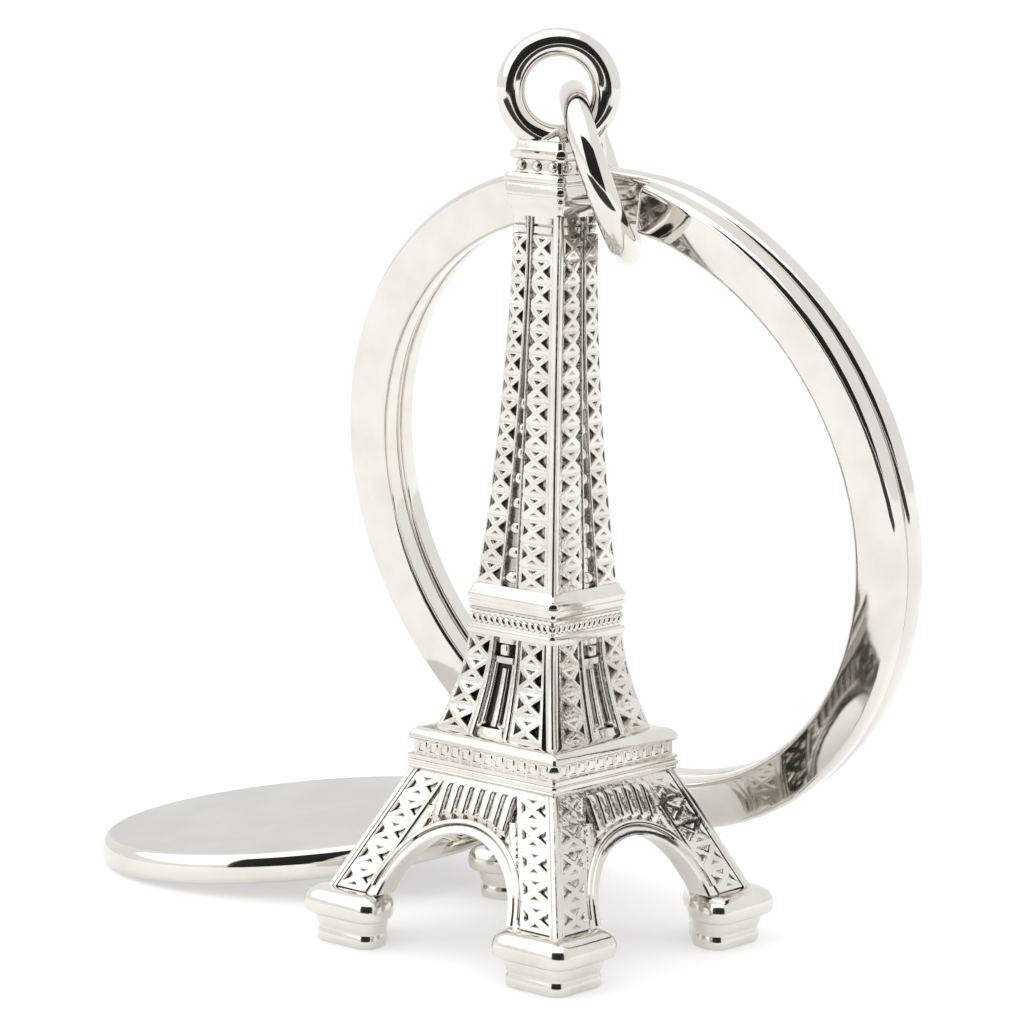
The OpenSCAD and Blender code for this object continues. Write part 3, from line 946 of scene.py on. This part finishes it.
piece("split_ring_wire", wound_wire(), POLISHED, "split_ring_body", stands_for=["split_ring"], sharp=30)


# ------------------------------------------------------------------- the tag

TAG_L, TAG_W, TAG_T, TAG_EDGE = 22.0, 16.8, 1.6, 0.5
tag_face = mount["tag_face"]
tag_up = Vector(tag_face["axis"]).normalized()
hole_at = Vector(joint["tag_on_link"]["pos_m"]) / MM
tag_mid = Vector(tag_face["pos_m"]) / MM - tag_up * TAG_T / 2
tag_along = hole_at - tag_mid
lug_reach = tag_along.length
tag_along = (tag_along - tag_up * tag_along.dot(tag_up)).normalized()
tag_frame = Matrix((tag_along, tag_up.cross(tag_along), tag_up)).transposed().to_4x4()
tag_frame.translation = tag_mid

plate = bmesh.new()
bmesh.ops.create_circle(plate, cap_ends=True, segments=128, radius=1, matrix=move(0, 0, -TAG_T / 2))
bmesh.ops.scale(plate, vec=(TAG_L / 2 - TAG_EDGE, TAG_W / 2 - TAG_EDGE, 1), verts=plate.verts)
face = plate.faces[:][0]
bmesh.ops.duplicate(plate, geom=[face])
EDGE_STEPS = 16
previous = (0.0, 0.0)
for step in range(1, EDGE_STEPS + 1):
    angle = math.pi * step / EDGE_STEPS
    out, high = TAG_EDGE * math.sin(angle), TAG_T * (1 - math.cos(angle)) / 2
    face = bmesh.ops.extrude_discrete_faces(plate, faces=[face])["faces"][0]
    bmesh.ops.translate(plate, vec=(0, 0, high - previous[1]), verts=face.verts)
    size_x, size_y = TAG_L / 2 - TAG_EDGE + previous[0], TAG_W / 2 - TAG_EDGE + previous[0]
    wider = out - previous[0]
    bmesh.ops.scale(plate, vec=((size_x + wider) / size_x, (size_y + wider) / size_y, 1),
                    verts=face.verts)
    previous = (out, high)
for face in plate.faces:
    if face.calc_area() > 50:
        face.material_index = 1
bmesh.ops.transform(plate, matrix=tag_frame, verts=plate.verts)
piece("tag_plate", plate, [POLISHED, SATIN], "tag_body", stands_for=["oval_tag"],
      sharp=60)

HOLE_R, LUG_R, LUG_T = 1.6, 2.5, 1.0
lug = bmesh.new()
bmesh.ops.create_circle(lug, segments=64, radius=HOLE_R, matrix=move(lug_reach, 0, -LUG_T / 2))
bmesh.ops.create_circle(lug, segments=64, radius=LUG_R, matrix=move(lug_reach, 0, -LUG_T / 2))
for vert in lug.verts:
    on_rim = (vert.co.xy - Vector((lug_reach, 0))).length > LUG_R - 0.01
    if on_rim and vert.co.x < lug_reach - 0.001:
        vert.co.x = TAG_L / 2 - 1 - 0.3 * math.cos(vert.co.y / LUG_R)
bmesh.ops.bridge_loops(lug, edges=lug.edges[:])
copy = bmesh.ops.extrude_face_region(lug, geom=lug.faces[:], use_keep_orig=True)["geom"]
bmesh.ops.translate(lug, vec=(0, 0, LUG_T), verts=verts_in(copy))
bmesh.ops.recalc_face_normals(lug, faces=lug.faces)
bmesh.ops.bevel(lug, geom=[e for e in lug.edges if abs(e.calc_face_angle(0)) > 1.2], offset=0.14,
                offset_type="OFFSET", segments=3, profile=0.5, affect="EDGES", material=-1,
                clamp_overlap=True)
bmesh.ops.transform(lug, matrix=tag_frame, verts=lug.verts)
piece("tag_lug", lug, POLISHED, "tag_body", sharp=60)


# ---------------------------------------------------- floor, light and camera

def card(name, size, place, face_to, colour):
    """A flat studio card that faces a point."""
    shape = bmesh.new()
    bmesh.ops.create_grid(shape, x_segments=1, y_segments=1, size=0.5)
    bmesh.ops.scale(shape, vec=(size[0], size[1], 1), verts=shape.verts)
    place, face_to = Vector(place), Vector(face_to)
    turned = (face_to - place).to_track_quat("Z", "Y").to_matrix().to_4x4()
    turned.translation = place
    bmesh.ops.transform(shape, matrix=turned, verts=shape.verts)
    shader = Shader(name)
    shader.set(Base_Color=colour, Roughness=1.0)
    made = put(name, shape, [shader.material])
    made.visible_camera = False
    made.visible_diffuse = False
    made.visible_shadow = False
    return made


floor_shape = bmesh.new()
bmesh.ops.create_grid(floor_shape, x_segments=1, y_segments=1, size=4)
PAPER = matt("floor_paper", (0.62, 0.62, 0.617, 1), (0.6, 0.6, 0.597, 1), 60.0, 0.42)
put("floor", floor_shape, [PAPER])

# Camera: level with the middle of the tower, a little above and to the left.
azimuth, elevation, roll = math.radians(-4.427), math.radians(9.232), math.radians(1.266)
aim = Vector((-1.817, 0, 21.68)) * MM
distance = 218.84 * MM
back_to_camera = Vector((math.sin(azimuth) * math.cos(elevation),
                         -math.cos(azimuth) * math.cos(elevation), math.sin(elevation)))
side = UP.cross(back_to_camera).normalized()
over = back_to_camera.cross(side)
camera_x = side * math.cos(roll) + over * math.sin(roll)
camera_y = over * math.cos(roll) - side * math.sin(roll)
camera_matrix = Matrix((camera_x, camera_y, back_to_camera)).transposed().to_4x4()
camera_matrix.translation = aim + back_to_camera * distance
lens = bpy.data.cameras.new("camera")
lens.lens, lens.sensor_width = 156.1, 36
lens.clip_start, lens.clip_end = 0.01, 20
camera = bpy.data.objects.new("camera", lens)
camera.matrix_world = camera_matrix
bpy.context.scene.collection.objects.link(camera)
bpy.context.scene.camera = camera

# Dark card round the lens, which polished metal shows as black lines.
card("card_round_the_lens", (0.64, 0.76), aim + back_to_camera * 0.4, aim, (0.008, 0.0065, 0.005, 1))
card("dark_card_before_the_tower", (0.3, 0.2), Vector((-0.02, -0.165, 0.0005)), Vector((-0.02, -0.165, 1)),
     (0.02, 0.017, 0.013, 1))

world = bpy.data.worlds.new("studio")
world.use_nodes = True
world.node_tree.nodes["Background"].inputs["Color"].default_value = (1, 1, 1, 1)
world.node_tree.nodes["Background"].inputs["Strength"].default_value = 1.0
bpy.context.scene.world = world
bpy.context.scene.view_settings.view_transform = "Standard"

sun = bpy.data.lights.new("soft_sun", "SUN")
sun.energy, sun.angle = 1.0, math.radians(100)
made = bpy.data.objects.new("soft_sun", sun)
made.rotation_mode = "QUATERNION"
made.rotation_quaternion = Vector((-0.5, -0.3, 1)).to_track_quat("Z", "Y")
bpy.context.scene.collection.objects.link(made)
